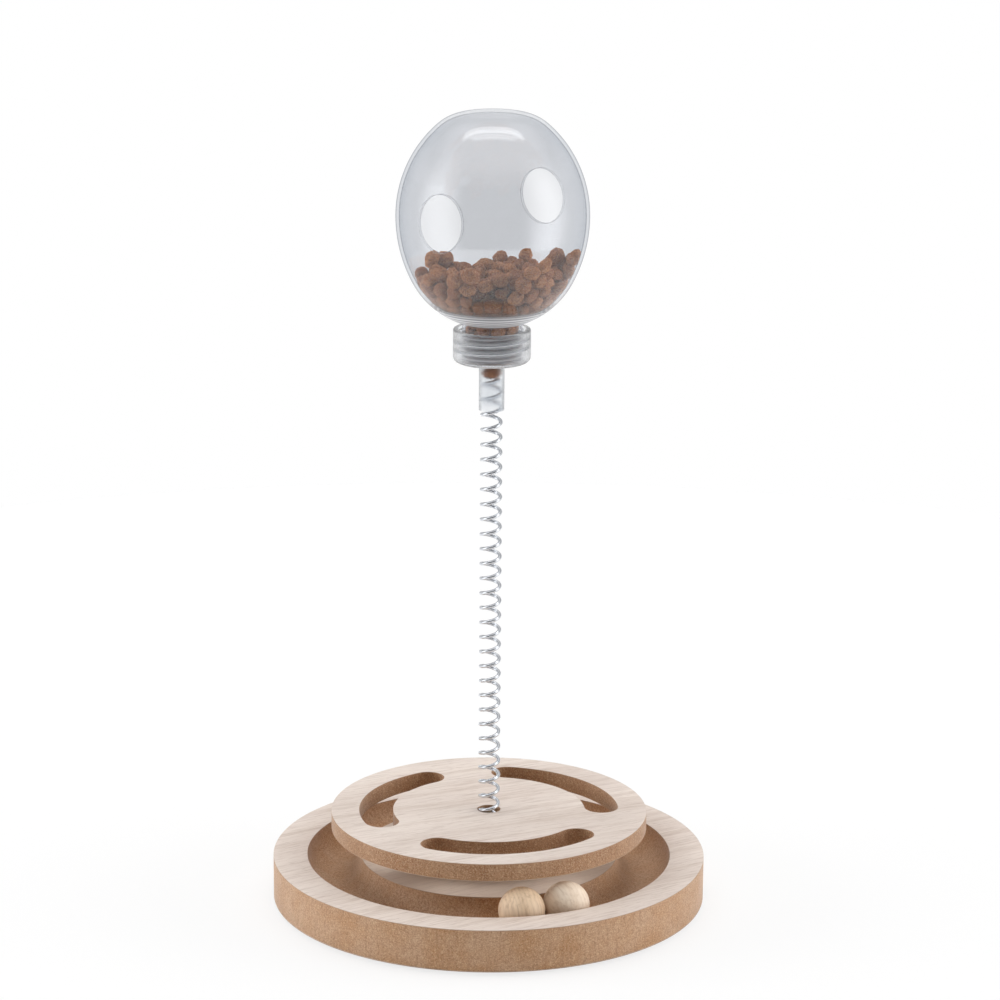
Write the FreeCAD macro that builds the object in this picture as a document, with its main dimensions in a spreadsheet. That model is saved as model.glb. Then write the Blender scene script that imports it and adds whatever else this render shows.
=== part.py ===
"""Cat treat toy: a round board with a ball track, a slotted tray above it, and a
clear treat globe that sways on a long coil spring. Millimetres, +Z up, origin on
the floor at the middle of the board."""
import FreeCAD, Part
import Sketcher
import math
import os

Vector = FreeCAD.Vector
UP = Vector(0, 0, 1)

doc = FreeCAD.newDocument("cat_treat_toy")
sheet = doc.addObject("Spreadsheet::Sheet", "sizes")

# Driving dimensions: name, value, meaning. Lengths in millimetres, angles in degrees.
SIZES = [
    ("foot_height", 2.0, "anti-slip foot, from the floor to the board"),
    ("foot_diameter", 16.0, "anti-slip foot"),
    ("foot_inset", 25.0, "middle of a foot, in from the base's edge"),
    ("base_diameter", 240.0, "round base board"),
    ("base_core", 22.8, "fibreboard core of the base"),
    ("veneer", 0.5, "wood veneer on every board face"),
    ("rim_width", 18.9, "flat rim outside the track"),
    ("ball_diameter", 25.4, "wooden ball"),
    ("track_room", 2.1, "radial room between a ball and the track's round section"),
    ("ball_angle", -78.0, "where the first ball lies, from the right-hand side"),
    ("hub_diameter", 50.0, "turned spacer between base and tray"),
    ("hub_height", 15.3, "gap between the base and the tray"),
    ("well_room", 0.95, "radial room between the spring and its well in the hub"),
    ("tray_diameter", 175.4, "round tray"),
    ("tray_core", 8.8, "fibreboard core of the tray"),
    ("slot_inset", 15.5, "land between the tray's edge and the slots"),
    ("slot_width", 18.8, "width of the paw slots"),
    ("slot_span", 76.4, "angle between the middles of a slot's round ends"),
    ("slot_turn", 42.0, "where the first slot's middle lies"),
    ("slot_count", 3, "paw slots round the tray"),
    ("screw_diameter", 4.0, "wood screws that hold the tray"),
    ("screw_head", 8.0, "head of a screw"),
    ("screw_bite", 5.9, "length of a screw in the tray's core"),
    ("screw_inset", 6.0, "middle of a screw, in from the hub's side"),
    ("screw_count", 3, "screws round the hub"),
    ("screw_clearance", 0.1, "radial room round a screw"),
    ("peg_room", 0.25, "radial room between the spring and the dowel inside its lowest turns"),
    ("peg_depth", 14.0, "depth of the dowel in the base"),
    ("peg_below_tray", 5.0, "top of the dowel, below the tray's face"),
    ("wire_diameter", 2.1, "spring wire, across the corners of its section"),
    ("wire_sides", 6, "sides of the wire's section, few because it runs so long"),
    ("spring_outer", 12.3, "outer diameter of the spring"),
    ("spring_pitch", 8.4, "rise of the spring in one turn"),
    ("spring_phase", -65.0, "direction in which the spring's coil begins"),
    ("spring_reach", 229.0, "open spring between the tray and the cap's tube"),
    ("spring_grip", 16.7, "spring inside the cap's tube"),
    ("spring_tuck", 0.5, "how far the spring's upper end draws in"),
    ("spring_hole_room", 0.3, "radial room between the spring and the tray"),
    ("tube_room", 0.1, "radial room between the spring and the cap's tube"),
    ("tube_wall", 0.65, "wall of the tube"),
    ("tube_length", 26.8, "tube under the cap"),
    ("cap_outer", 42.0, "screw cap"),
    ("cap_height", 18.1, "screw cap, without its tube"),
    ("cap_wall", 2.6, "wall of the cap"),
    ("cap_floor", 2.0, "floor of the cap"),
    ("cap_corner", 3.0, "rounding of the cap's lower corner"),
    ("cap_rim", 1.0, "rounding of the cap's rim"),
    ("thread_room", 2.1, "radial room for the thread between the cap and the globe's neck"),
    ("globe_diameter", 104.0, "widest diameter of the globe"),
    ("globe_wall", 1.8, "wall of the globe and its neck"),
    ("globe_rise", 61.5, "from the cap's rim to the widest level of the globe"),
    ("globe_upper_arc", 65.4, "radius of the side above the widest level"),
    ("globe_shoulder_arc", 24.7, "radius of the shoulder round the flat top"),
    ("globe_flat", 27.0, "diameter of the flat top"),
    ("globe_lower_arc", 76.6, "radius of the side below the widest level"),
    ("globe_belly_arc", 46.1, "radius of the belly above the neck"),
    ("globe_belly_drop", 14.1, "centre of the belly arc, below the widest level"),
    ("treat_hole_width", 27.0, "oval treat hole, across"),
    ("treat_hole_height", 30.5, "oval treat hole, upright"),
    ("treat_hole_rise", 3.5, "middle of the holes, above the widest level"),
    ("treat_hole_turn", -33.5, "turn of the holes from the front"),
    ("heap_drop", 28.8, "middle of the heap's top, below the widest level"),
    ("heap_slope", 9.0, "slope of the heap's top"),
    ("heap_turn", -40.0, "direction from low to high on the heap"),
    ("lump_spacing", 18.0, "between the middles of the lumps that stand out of the heap"),
    ("lump_rise", 1.0, "middle of such a lump above the heap's slope"),
    ("kibble_width", 9.4, "piece of kibble that fell into the tube"),
    ("kibble_height", 9.0, "the same piece, upright"),
    ("seat_gap", 0.3, "room between loose or moving faces that rest on each other"),
]
for row, (name, number, meaning) in enumerate(SIZES, start=1):
    sheet.set("A%d" % row, name)
    sheet.set("B%d" % row, str(number))
    sheet.set("C%d" % row, meaning)
    sheet.setAlias("B%d" % row, name)
doc.recompute()

# Sizes that follow from others, as expressions on the sheet.
TRACK_CUTTER = "(sizes.ball_diameter + 2 * sizes.track_room)"
TRACK_CIRCLE = "(sizes.base_diameter - 2 * sizes.rim_width - %s)" % TRACK_CUTTER
WELL = "(sizes.spring_outer + 2 * sizes.well_room)"
PEG = "(sizes.spring_outer - 2 * sizes.wire_diameter - 2 * sizes.peg_room)"
SLOT_OUTER = "(sizes.tray_diameter - 2 * sizes.slot_inset)"
SLOT_INNER = "(%s - 2 * sizes.slot_width)" % SLOT_OUTER
SCREW_RADIUS = "(sizes.hub_diameter / 2 - sizes.screw_inset)"
SCREW_HOLE = "(sizes.screw_diameter + 2 * sizes.screw_clearance)"
SCREW_HEAD_HOLE = "(sizes.screw_head + 2 * sizes.screw_clearance)"
SPRING_HOLE = "(sizes.spring_outer + 2 * sizes.spring_hole_room)"
TUBE_BORE = "(sizes.spring_outer + 2 * sizes.tube_room)"
TUBE_OUTER = "(%s + 2 * sizes.tube_wall)" % TUBE_BORE
NECK_OUTER = "(sizes.cap_outer - 2 * sizes.cap_wall - 2 * sizes.thread_room)"
NECK_END = "(sizes.globe_rise + sizes.cap_height - sizes.cap_floor - sizes.seat_gap)"

# Heights of the main faces, as expressions on the sheet.
BASE_TOP = "(sizes.foot_height + sizes.base_core + 2 * sizes.veneer)"
TRAY_BOTTOM = "(%s + sizes.hub_height)" % BASE_TOP
TRAY_TOP = "(%s + sizes.tray_core + 2 * sizes.veneer)" % TRAY_BOTTOM
TUBE_BOTTOM = "(%s + sizes.spring_reach)" % TRAY_TOP
CAP_BOTTOM = "(%s + sizes.tube_length)" % TUBE_BOTTOM
WIDEST = "(%s + sizes.cap_height + sizes.globe_rise)" % CAP_BOTTOM


def value(expression):
    """The number that an expression on the sheet gives now."""
    return float(sheet.evalExpression(expression))


def size(name):
    return float(sheet.get(name))


def put(thing, height="0", turn="0"):
    """Binds a piece's height above the floor and its turn about the vertical."""
    thing.Placement = FreeCAD.Placement(Vector(0, 0, value(height)), FreeCAD.Rotation(UP, value(turn)))
    thing.setExpression("Placement.Base.z", height)
    if turn != "0":
        thing.setExpression("Placement.Rotation.Angle", turn)


def new_body(name, height="0", turn="0"):
    body = doc.addObject("PartDesign::Body", name)
    body.Label = name
    put(body, height, turn)
    return body


def origin_part(body, role):
    return [part for part in body.Origin.OriginFeatures if part.Role == role][0]


def new_sketch(body, name, plane="XY_Plane"):
    sketch = body.newObject("Sketcher::SketchObject", name)
    sketch.AttachmentSupport = [(origin_part(body, plane), "")]
    sketch.MapMode = "FlatFace"
    return sketch


def bind(sketch, kind, refs, expression):
    """Adds a dimension to a sketch and ties it to an expression on the sheet."""
    number = sketch.addConstraint(Sketcher.Constraint(kind, *refs, value(expression)))
    sketch.setExpression("Constraints[%d]" % number, expression)


def pin_point(sketch, geometry, corner, across, upward):
    """Ties one point of a sketch to expressions for its two coordinates."""
    for kind, axis, expression in (("DistanceX", -2, across), ("DistanceY", -1, upward)):
        if expression == "0":
            sketch.addConstraint(Sketcher.Constraint("PointOnObject", geometry, corner, axis))
        else:
            bind(sketch, kind, (-1, 1, geometry, corner), expression)


def draw_circle(sketch, diameter, across="0", upward="0"):
    centre = Vector(value(across), value(upward), 0)
    number = sketch.addGeometry(Part.Circle(centre, UP, value(diameter) / 2))
    bind(sketch, "Diameter", (number,), diameter)
    pin_point(sketch, number, 3, across, upward)
    return number


def draw_outline(sketch, corners):
    """A closed outline of straight lines through corners given as expressions."""
    points = [Vector(value(across), value(upward), 0) for across, upward in corners]
    lines = []
    for start, end in zip(points, points[1:] + points[:1]):
        lines.append(sketch.addGeometry(Part.LineSegment(start, end)))
    for line, following in zip(lines, lines[1:] + lines[:1]):
        sketch.addConstraint(Sketcher.Constraint("Coincident", line, 2, following, 1))
    for line, (across, upward) in zip(lines, corners):
        pin_point(sketch, line, 1, across, upward)


def pad(body, sketch, length):
    feature = body.newObject("PartDesign::Pad", body.Name + "_pad")
    feature.Profile = sketch
    feature.setExpression("Length", length)
    return feature


def revolve(body, sketch, kind="Revolution"):
    feature = body.newObject("PartDesign::" + kind, sketch.Name + "_turned")
    feature.Profile = sketch
    feature.ReferenceAxis = (sketch, ["V_Axis"])
    feature.Angle = 360
    return feature


def cut_through(body, sketch, both_ways=False):
    """Cuts a sketch through the whole body, and makes sure that it took material away."""
    doc.recompute()
    before = body.Shape.Volume
    feature = body.newObject("PartDesign::Pocket", sketch.Name + "_cut")
    feature.Profile = sketch
    feature.Type = "ThroughAll"
    feature.Midplane = both_ways
    feature.Reversed = not both_ways
    doc.recompute()
    if body.Shape.Volume > before - 1e-6:
        raise RuntimeError(sketch.Name + " cuts nothing")
    return feature


def repeat_round(body, feature, count):
    pattern = body.newObject("PartDesign::PolarPattern", feature.Name + "_round")
    pattern.Originals = [feature]
    pattern.Axis = (origin_part(body, "Z_Axis"), [""])
    pattern.Angle = 360
    pattern.setExpression("Occurrences", count)
    body.Tip = pattern
    return pattern


def round_edges(body, name, radius, picked):
    """Rounds the circular edges whose radius and local height are given as expressions."""
    doc.recompute()
    base = body.Tip
    wanted = [(value(edge_radius), value(level)) for edge_radius, level in picked]
    names = []
    for number, edge in enumerate(base.Shape.Edges, start=1):
        if not isinstance(edge.Curve, Part.Circle):
            continue
        for edge_radius, level in wanted:
            near = abs(edge.Curve.Radius - edge_radius) < 1e-4
            if near and abs(edge.Curve.Center.z - level) < 1e-4:
                names.append("Edge%d" % number)
    if len(names) != len(picked):
        raise RuntimeError("%s finds %d edges for %s" % (body.Name, len(names), name))
    fillet = body.newObject("PartDesign::Fillet", name)
    fillet.Base = (base, names)
    fillet.setExpression("Radius", radius)
    return fillet


def drill_screw_holes(body, diameter=SCREW_HOLE):
    hole = new_sketch(body, body.Name + "_screw_hole")
    draw_circle(hole, diameter, SCREW_RADIUS)
    return repeat_round(body, cut_through(body, hole), "sizes.screw_count")


def drill_middle(body, diameter):
    hole = new_sketch(body, body.Name + "_middle_hole")
    draw_circle(hole, diameter)
    return cut_through(body, hole)


def disc(name, height, diameter, thickness, turn="0"):
    body = new_body(name, height, turn)
    outline = new_sketch(body, name + "_outline")
    draw_circle(outline, diameter)
    pad(body, outline, thickness)
    return body


# Base board

def make_base_board():
    """Fibreboard disc with the round-bottomed ball track and the hidden fixings."""
    body = disc("base_board", "sizes.foot_height + sizes.veneer", "sizes.base_diameter", "sizes.base_core")
    track = new_sketch(body, "ball_track", "XZ_Plane")
    draw_circle(track, TRACK_CUTTER, TRACK_CIRCLE + " / 2", "sizes.base_core")
    revolve(body, track, "Groove")
    peg_hole = new_sketch(body, "peg_hole", "XZ_Plane")
    floor = "sizes.base_core - sizes.peg_depth"
    draw_outline(peg_hole, [
        ("0", floor),
        (PEG + " / 2", floor),
        (PEG + " / 2", "sizes.base_core + sizes.veneer"),
        ("0", "sizes.base_core + sizes.veneer"),
    ])
    revolve(body, peg_hole, "Groove")
    drill_screw_holes(body)
    sink = new_sketch(body, "screw_head_sink", "XZ_Plane")
    radius = "(%s / 2)" % SCREW_HEAD_HOLE
    shank = "(%s / 2)" % SCREW_HOLE
    draw_outline(sink, [
        ("0", "0"),
        (radius, "0"),
        (shank, "%s - %s" % (radius, shank)),
        ("0", "%s - %s" % (radius, shank)),
    ])
    sink.AttachmentOffset = FreeCAD.Placement(Vector(value(SCREW_RADIUS), 0, 0), FreeCAD.Rotation())
    sink.setExpression("AttachmentOffset.Base.x", SCREW_RADIUS)
    cone = revolve(body, sink, "Groove")
    repeat_round(body, cone, "sizes.screw_count")
    return body


def make_base_veneers():
    """Three veneers: the rim and the plateau beside the track, and the underside."""
    face = "%s - sizes.veneer" % BASE_TOP
    rim = new_body("rim_veneer", face)
    ring = new_sketch(rim, "rim_outline")
    draw_circle(ring, "sizes.base_diameter")
    draw_circle(ring, "%s + %s" % (TRACK_CIRCLE, TRACK_CUTTER))
    pad(rim, ring, "sizes.veneer")
    plateau = disc("plateau_veneer", face, "%s - %s" % (TRACK_CIRCLE, TRACK_CUTTER), "sizes.veneer")
    drill_middle(plateau, PEG)
    drill_screw_holes(plateau)
    backing = disc("backing_veneer", "sizes.foot_height", "sizes.base_diameter", "sizes.veneer")
    drill_screw_holes(backing, SCREW_HEAD_HOLE)


def make_feet():
    """Four anti-slip pads under the rim."""
    for number, side in enumerate(("front_right", "back_right", "back_left", "front_left")):
        foot = doc.addObject("Part::Cylinder", "foot_" + side)
        foot.Label = "foot_" + side
        foot.setExpression("Radius", "sizes.foot_diameter / 2")
        foot.setExpression("Height", "sizes.foot_height")
        angle = -45 + 90 * number
        for axis, share in (("x", math.cos(math.radians(angle))), ("y", math.sin(math.radians(angle)))):
            circle = "(sizes.base_diameter / 2 - sizes.foot_inset)"
            foot.setExpression("Placement.Base." + axis, "%s * %.6f" % (circle, share))


def make_balls():
    """Two wooden balls that lie side by side in the track."""
    floor = "%s - sizes.veneer - %s / 2" % (BASE_TOP, TRACK_CUTTER)
    step = "2 * asin((sizes.ball_diameter + sizes.seat_gap) / %s)" % TRACK_CIRCLE
    for name, angle in (("ball_1", "sizes.ball_angle * 1 deg"), ("ball_2", "sizes.ball_angle * 1 deg + " + step)):
        ball = doc.addObject("Part::Sphere", name)
        ball.Label = name
        ball.setExpression("Radius", "sizes.ball_diameter / 2")
        ball.setExpression("Placement.Base.x", "%s / 2 * cos(%s)" % (TRACK_CIRCLE, angle))
        ball.setExpression("Placement.Base.y", "%s / 2 * sin(%s)" % (TRACK_CIRCLE, angle))
        ball.setExpression("Placement.Base.z", "%s + sizes.seat_gap + sizes.ball_diameter / 2" % floor)


# Tray, its hub and fixings

def make_hub():
    """Turned spacer with the well that the spring stands in."""
    body = disc("hub", BASE_TOP, "sizes.hub_diameter", "sizes.hub_height")
    drill_middle(body, WELL)
    drill_screw_holes(body)


def cut_slots(body):
    """Three arc slots with full round ends, one drawn and repeated about the axis."""
    sketch = new_sketch(body, body.Name + "_slot")
    inner = value(SLOT_INNER + " / 2")
    width = size("slot_width")
    half = math.radians(size("slot_span") / 2)
    middle = inner + width / 2
    ends = [Vector(middle * math.cos(side * half), middle * math.sin(side * half), 0) for side in (-1, 1)]
    origin = Vector(0, 0, 0)
    inside = sketch.addGeometry(Part.ArcOfCircle(Part.Circle(origin, UP, inner), -half, half))
    outside = sketch.addGeometry(Part.ArcOfCircle(Part.Circle(origin, UP, inner + width), -half, half))
    low = sketch.addGeometry(Part.ArcOfCircle(Part.Circle(ends[0], UP, width / 2), math.pi - half, -half))
    high = sketch.addGeometry(Part.ArcOfCircle(Part.Circle(ends[1], UP, width / 2), half, math.pi + half))
    for arc in (inside, outside):
        sketch.addConstraint(Sketcher.Constraint("Coincident", arc, 3, -1, 1))
    for first, corner, second, other in ((inside, 1, low, 1), (outside, 1, low, 2),
                                         (outside, 2, high, 1), (inside, 2, high, 2)):
        sketch.addConstraint(Sketcher.Constraint("Tangent", first, corner, second, other))
    bind(sketch, "Radius", (inside,), SLOT_INNER + " / 2")
    bind(sketch, "Radius", (outside,), SLOT_OUTER + " / 2")
    swing = "(%s + sizes.slot_width) / 2 * sin(sizes.slot_span / 2 * 1 deg)" % SLOT_INNER
    bind(sketch, "DistanceY", (low, 3, -1, 1), swing)
    bind(sketch, "DistanceY", (-1, 1, high, 3), swing)
    return repeat_round(body, cut_through(body, sketch), "sizes.slot_count")


def make_tray():
    """Slotted fibreboard disc with a veneer on each face."""
    turn = "sizes.slot_turn"
    core = "%s + sizes.veneer" % TRAY_BOTTOM
    board = disc("tray_board", core, "sizes.tray_diameter", "sizes.tray_core", turn)
    drill_middle(board, SPRING_HOLE)
    pilot = new_sketch(board, "pilot_hole")
    across = "%s * cos(sizes.slot_turn * 1 deg)" % SCREW_RADIUS
    upward = "0 - %s * sin(sizes.slot_turn * 1 deg)" % SCREW_RADIUS
    draw_circle(pilot, SCREW_HOLE, across, upward)
    before = board.Shape.Volume
    pocket = board.newObject("PartDesign::Pocket", "pilot_hole_cut")
    pocket.Profile = pilot
    pocket.setExpression("Length", "sizes.screw_bite + sizes.screw_clearance")
    pocket.Reversed = True
    doc.recompute()
    if board.Shape.Volume > before - 1e-6:
        raise RuntimeError("the pilot hole cuts nothing")
    repeat_round(board, pocket, "sizes.screw_count")
    cut_slots(board)
    top = disc("tray_top_veneer", "%s - sizes.veneer" % TRAY_TOP, "sizes.tray_diameter", "sizes.veneer", turn)
    drill_middle(top, SPRING_HOLE)
    cut_slots(top)
    under = disc("tray_under_veneer", TRAY_BOTTOM, "sizes.tray_diameter", "sizes.veneer", turn)
    drill_middle(under, SPRING_HOLE)
    pass_through = new_sketch(under, "under_screw_hole")
    draw_circle(pass_through, SCREW_HOLE, across, upward)
    repeat_round(under, cut_through(under, pass_through), "sizes.screw_count")
    cut_slots(under)


def make_screws():
    """Countersunk wood screws from beneath, through the base and the hub into the tray."""
    shank = size("screw_diameter") / 2
    head = size("screw_head") / 2
    end = size("base_core") + size("hub_height") + 2 * size("veneer") + size("screw_bite")
    bottom = size("foot_height") + size("veneer")
    outline = [(0, 0), (head, 0), (shank, head - shank), (shank, end - 2 * shank), (0, end)]
    points = [Vector(across, 0, bottom + upward) for across, upward in outline]
    face = Part.Face(Part.makePolygon(points + points[:1]))
    screw = face.revolve(Vector(0, 0, 0), UP, 360)
    count = int(size("screw_count"))
    placed = []
    for number in range(count):
        copy = screw.copy()
        copy.translate(Vector(value(SCREW_RADIUS), 0, 0))
        copy.rotate(Vector(0, 0, 0), UP, 360 / count * number)
        placed.append(copy)
    screws = doc.addObject("Part::Feature", "hub_screws")
    screws.Label = "hub_screws"
    screws.Shape = Part.Compound(placed)


def make_peg():
    """Dowel in the base that the spring's lowest turns stand round."""
    peg = doc.addObject("Part::Cylinder", "spring_peg")
    peg.Label = "spring_peg"
    peg.setExpression("Radius", PEG + " / 2")
    peg.setExpression("Height", "%s - sizes.peg_below_tray - (%s - sizes.veneer - sizes.peg_depth)"
                      % (TRAY_TOP, BASE_TOP))
    put(peg, "%s - sizes.veneer - sizes.peg_depth" % BASE_TOP)


# Coil spring

def biarc(start, start_way, end, end_way):
    """Two arcs that join two points smoothly, each leaving or arriving along its own way."""
    chord = end - start
    ways = start_way + end_way
    bend = 2 * (1 - start_way.dot(end_way))
    reach = (math.sqrt(chord.dot(ways) ** 2 + bend * chord.dot(chord)) - chord.dot(ways)) / bend
    joint = (start + end + (start_way - end_way) * reach) * 0.5
    return [arc_along(start, start_way, joint), arc_along(end, end_way * -1, joint)]


def arc_along(start, way, end):
    """The arc from start to end that leaves start along way."""
    chord = end - start
    along = Vector(chord).normalize()
    side = (way - along * way.dot(along)).normalize()
    turn = math.acos(max(-1.0, min(1.0, way.dot(along))))
    middle = start + chord * 0.5 + side * (chord.Length / 2 * math.tan(turn / 2))
    return Part.Arc(start, middle, end).toShape()


def make_spring():
    """Right-handed coil of bright wire, one tube from the hub's well to the cap's tube."""
    wire = size("wire_diameter")
    coil = (size("spring_outer") - wire) / 2
    pitch = size("spring_pitch")
    tuck = size("spring_tuck")
    end_drop = wire * pitch / math.hypot(pitch, 2 * math.pi * coil)
    low = value(BASE_TOP) + wire / 2 + end_drop + size("seat_gap")
    high = value(TUBE_BOTTOM) + size("spring_grip")
    turns = (high - low) / pitch
    phase = math.radians(size("spring_phase"))
    steps = max(4, round(turns * 2))

    def on_coil(share):
        """Point and direction on the coil, whose last half turn draws in."""
        angle = phase + 2 * math.pi * turns * share
        left = turns * (1 - share)
        drawn = max(0.0, 1 - 2 * left) ** 2
        radius = coil - tuck * drawn
        slope = -tuck * 4 * max(0.0, 1 - 2 * left) / (2 * math.pi)
        around = Vector(-math.sin(angle), math.cos(angle), 0)
        outward = Vector(math.cos(angle), math.sin(angle), 0)
        point = outward * radius + UP * (low + (high - low) * share)
        way = around * radius + outward * slope + UP * (pitch / (2 * math.pi))
        return point, way.normalize()

    stops = [on_coil(step / steps) for step in range(steps + 1)]
    first, first_way = stops[0]
    last, last_way = stops[-1]
    edges = [Part.LineSegment(first - first_way * wire, first).toShape()]
    for (start, start_way), (end, end_way) in zip(stops, stops[1:]):
        edges += biarc(start, start_way, end, end_way)
    edges.append(Part.LineSegment(last, last + last_way * wire).toShape())
    path = Part.Wire(Part.__sortEdges__(edges))
    sides = max(3, round(size("wire_sides")))
    across = UP.cross(first_way).normalize() * (wire / 2)
    upward = first_way.cross(across)
    angles = [2 * math.pi * side / sides for side in range(sides)]
    corners = [edges[0].Vertexes[0].Point + across * math.cos(a) + upward * math.sin(a) for a in angles]
    section = Part.makePolygon(corners + corners[:1])
    spring = doc.addObject("Part::Feature", "coil_spring")
    spring.Label = "coil_spring"
    spring.Shape = path.makePipeShell([section], True, False)
    expected = Part.Face(section).Area * path.Length
    fine = [on_coil(step / (steps * 8))[0] for step in range(steps * 8 + 1)]
    turn_points = round(steps * 8 / turns)
    gaps = []
    for number, point in enumerate(fine):
        for other in fine[number + turn_points // 2:number + 2 * turn_points]:
            gaps.append((point - other).Length - wire)
    tightest = min(edge.Curve.Radius for edge in edges[1:-1])
    print("spring: %.1f turns, length %.0f mm, volume over section times length %.4f,"
          " least gap to itself %.2f mm, tightest arc %.2f mm"
          % (turns, path.Length, spring.Shape.Volume / expected, min(gaps), tightest))


# Cap, globe and treats

def make_cap():
    """Screw cap and the tube below it, one moulding, open from the floor down."""
    body = new_body("screw_cap", CAP_BOTTOM)
    section = new_sketch(body, "cap_section", "XZ_Plane")
    bore = TUBE_BORE + " / 2"
    draw_outline(section, [
        (bore, "0 - sizes.tube_length"),
        (TUBE_OUTER + " / 2", "0 - sizes.tube_length"),
        (TUBE_OUTER + " / 2", "0"),
        ("sizes.cap_outer / 2", "0"),
        ("sizes.cap_outer / 2", "sizes.cap_height"),
        ("sizes.cap_outer / 2 - sizes.cap_wall", "sizes.cap_height"),
        ("sizes.cap_outer / 2 - sizes.cap_wall", "sizes.cap_floor"),
        (bore, "sizes.cap_floor"),
    ])
    revolve(body, section)
    round_edges(body, "cap_lower_corner", "sizes.cap_corner", [("sizes.cap_outer / 2", "0")])
    round_edges(body, "cap_rim_edge", "sizes.cap_rim", [("sizes.cap_outer / 2", "sizes.cap_height")])


def draw_globe(sketch, inset, end):
    """Half outline of the globe and its neck, set in from the outside by inset.

    Its arcs run from the flat top over the shoulder and down the side, and from the
    widest level down the belly to the neck. Inset outlines keep the same centres."""
    in_by = value(inset)
    widest = size("globe_diameter") / 2
    upper, lower = size("globe_upper_arc"), size("globe_lower_arc")
    shoulder, belly = size("globe_shoulder_arc"), size("globe_belly_arc")
    flat = size("globe_flat") / 2
    drop = size("globe_belly_drop")
    neck = value(NECK_OUTER) / 2 - in_by
    bottom = -value(end)
    shoulder_turn = math.acos((flat - widest + upper) / (upper - shoulder))
    shoulder_centre = Vector(flat, (upper - shoulder) * math.sin(shoulder_turn), 0)
    top = shoulder_centre.y + shoulder - in_by
    belly_turn = math.asin(drop / (lower - belly))
    belly_centre = Vector(widest - lower + (lower - belly) * math.cos(belly_turn), -drop, 0)
    neck_turn = math.acos((neck - belly_centre.x) / (belly - in_by))
    neck_top = belly_centre.y - (belly - in_by) * math.sin(neck_turn)

    def line(start, finish):
        return sketch.addGeometry(Part.LineSegment(Vector(*start, 0), Vector(*finish, 0)))

    def arc(centre, radius, start, finish):
        circle = Part.Circle(centre, UP, radius - in_by)
        return sketch.addGeometry(Part.ArcOfCircle(circle, start, finish))

    axis = line((0, bottom), (0, top))
    flat_top = line((0, top), (flat, top))
    shoulder_arc = arc(shoulder_centre, shoulder, shoulder_turn, math.pi / 2)
    upper_arc = arc(Vector(widest - upper, 0, 0), upper, 0, shoulder_turn)
    lower_arc = arc(Vector(widest - lower, 0, 0), lower, -belly_turn, 0)
    belly_arc = arc(belly_centre, belly, -neck_turn, -belly_turn)
    neck_line = line((neck, neck_top), (neck, bottom))
    end_line = line((neck, bottom), (0, bottom))
    add = sketch.addConstraint
    for first, corner, second, other in ((axis, 2, flat_top, 1), (belly_arc, 1, neck_line, 1),
                                         (neck_line, 2, end_line, 1), (end_line, 2, axis, 1)):
        add(Sketcher.Constraint("Coincident", first, corner, second, other))
    for first, corner, second, other in ((flat_top, 2, shoulder_arc, 2), (shoulder_arc, 1, upper_arc, 2),
                                         (upper_arc, 1, lower_arc, 2), (lower_arc, 1, belly_arc, 2)):
        add(Sketcher.Constraint("Tangent", first, corner, second, other))
    for corner in (1, 2):
        add(Sketcher.Constraint("PointOnObject", axis, corner, -2))
    for level in (flat_top, end_line):
        add(Sketcher.Constraint("Horizontal", level))
    add(Sketcher.Constraint("Vertical", neck_line))
    for number in (upper_arc, lower_arc):
        add(Sketcher.Constraint("PointOnObject", number, 3, -1))
    for number, radius in ((shoulder_arc, "shoulder"), (upper_arc, "upper"),
                           (lower_arc, "lower"), (belly_arc, "belly")):
        bind(sketch, "Radius", (number,), "sizes.globe_%s_arc - (%s)" % (radius, inset))
    bind(sketch, "DistanceX", (-1, 1, upper_arc, 1), "sizes.globe_diameter / 2 - (%s)" % inset)
    bind(sketch, "DistanceX", (-1, 1, flat_top, 2), "sizes.globe_flat / 2")
    bind(sketch, "DistanceY", (-1, 1, belly_arc, 3), "0 - sizes.globe_belly_drop")
    bind(sketch, "DistanceX", (-1, 1, neck_line, 2), "%s / 2 - (%s)" % (NECK_OUTER, inset))
    bind(sketch, "DistanceY", (-1, 1, neck_line, 2), "0 - (%s)" % end)


def make_globe():
    """Clear globe: one blown shell with its neck, and two oval treat holes."""
    body = new_body("treat_globe", WIDEST, "sizes.treat_hole_turn")
    outside = new_sketch(body, "globe_outside", "XZ_Plane")
    draw_globe(outside, "0", NECK_END)
    revolve(body, outside)
    inside = new_sketch(body, "globe_inside", "XZ_Plane")
    draw_globe(inside, "sizes.globe_wall", NECK_END + " + sizes.seat_gap")
    revolve(body, inside, "Groove")
    hole = new_sketch(body, "treat_hole", "XZ_Plane")
    centre = Vector(0, size("treat_hole_rise"), 0)
    tall = size("treat_hole_height") / 2
    wide = size("treat_hole_width") / 2
    oval = Part.Ellipse(centre + Vector(0, tall, 0), centre + Vector(wide, 0, 0), centre)
    number = hole.addGeometry(oval)
    hole.exposeInternalGeometry(number)
    upright, across = number + 1, number + 2
    hole.addConstraint(Sketcher.Constraint("Vertical", upright))
    bind(hole, "Distance", (upright,), "sizes.treat_hole_height")
    bind(hole, "Distance", (across,), "sizes.treat_hole_width")
    pin_point(hole, number, 3, "0", "sizes.treat_hole_rise")
    cut_through(body, hole, both_ways=True)


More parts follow.
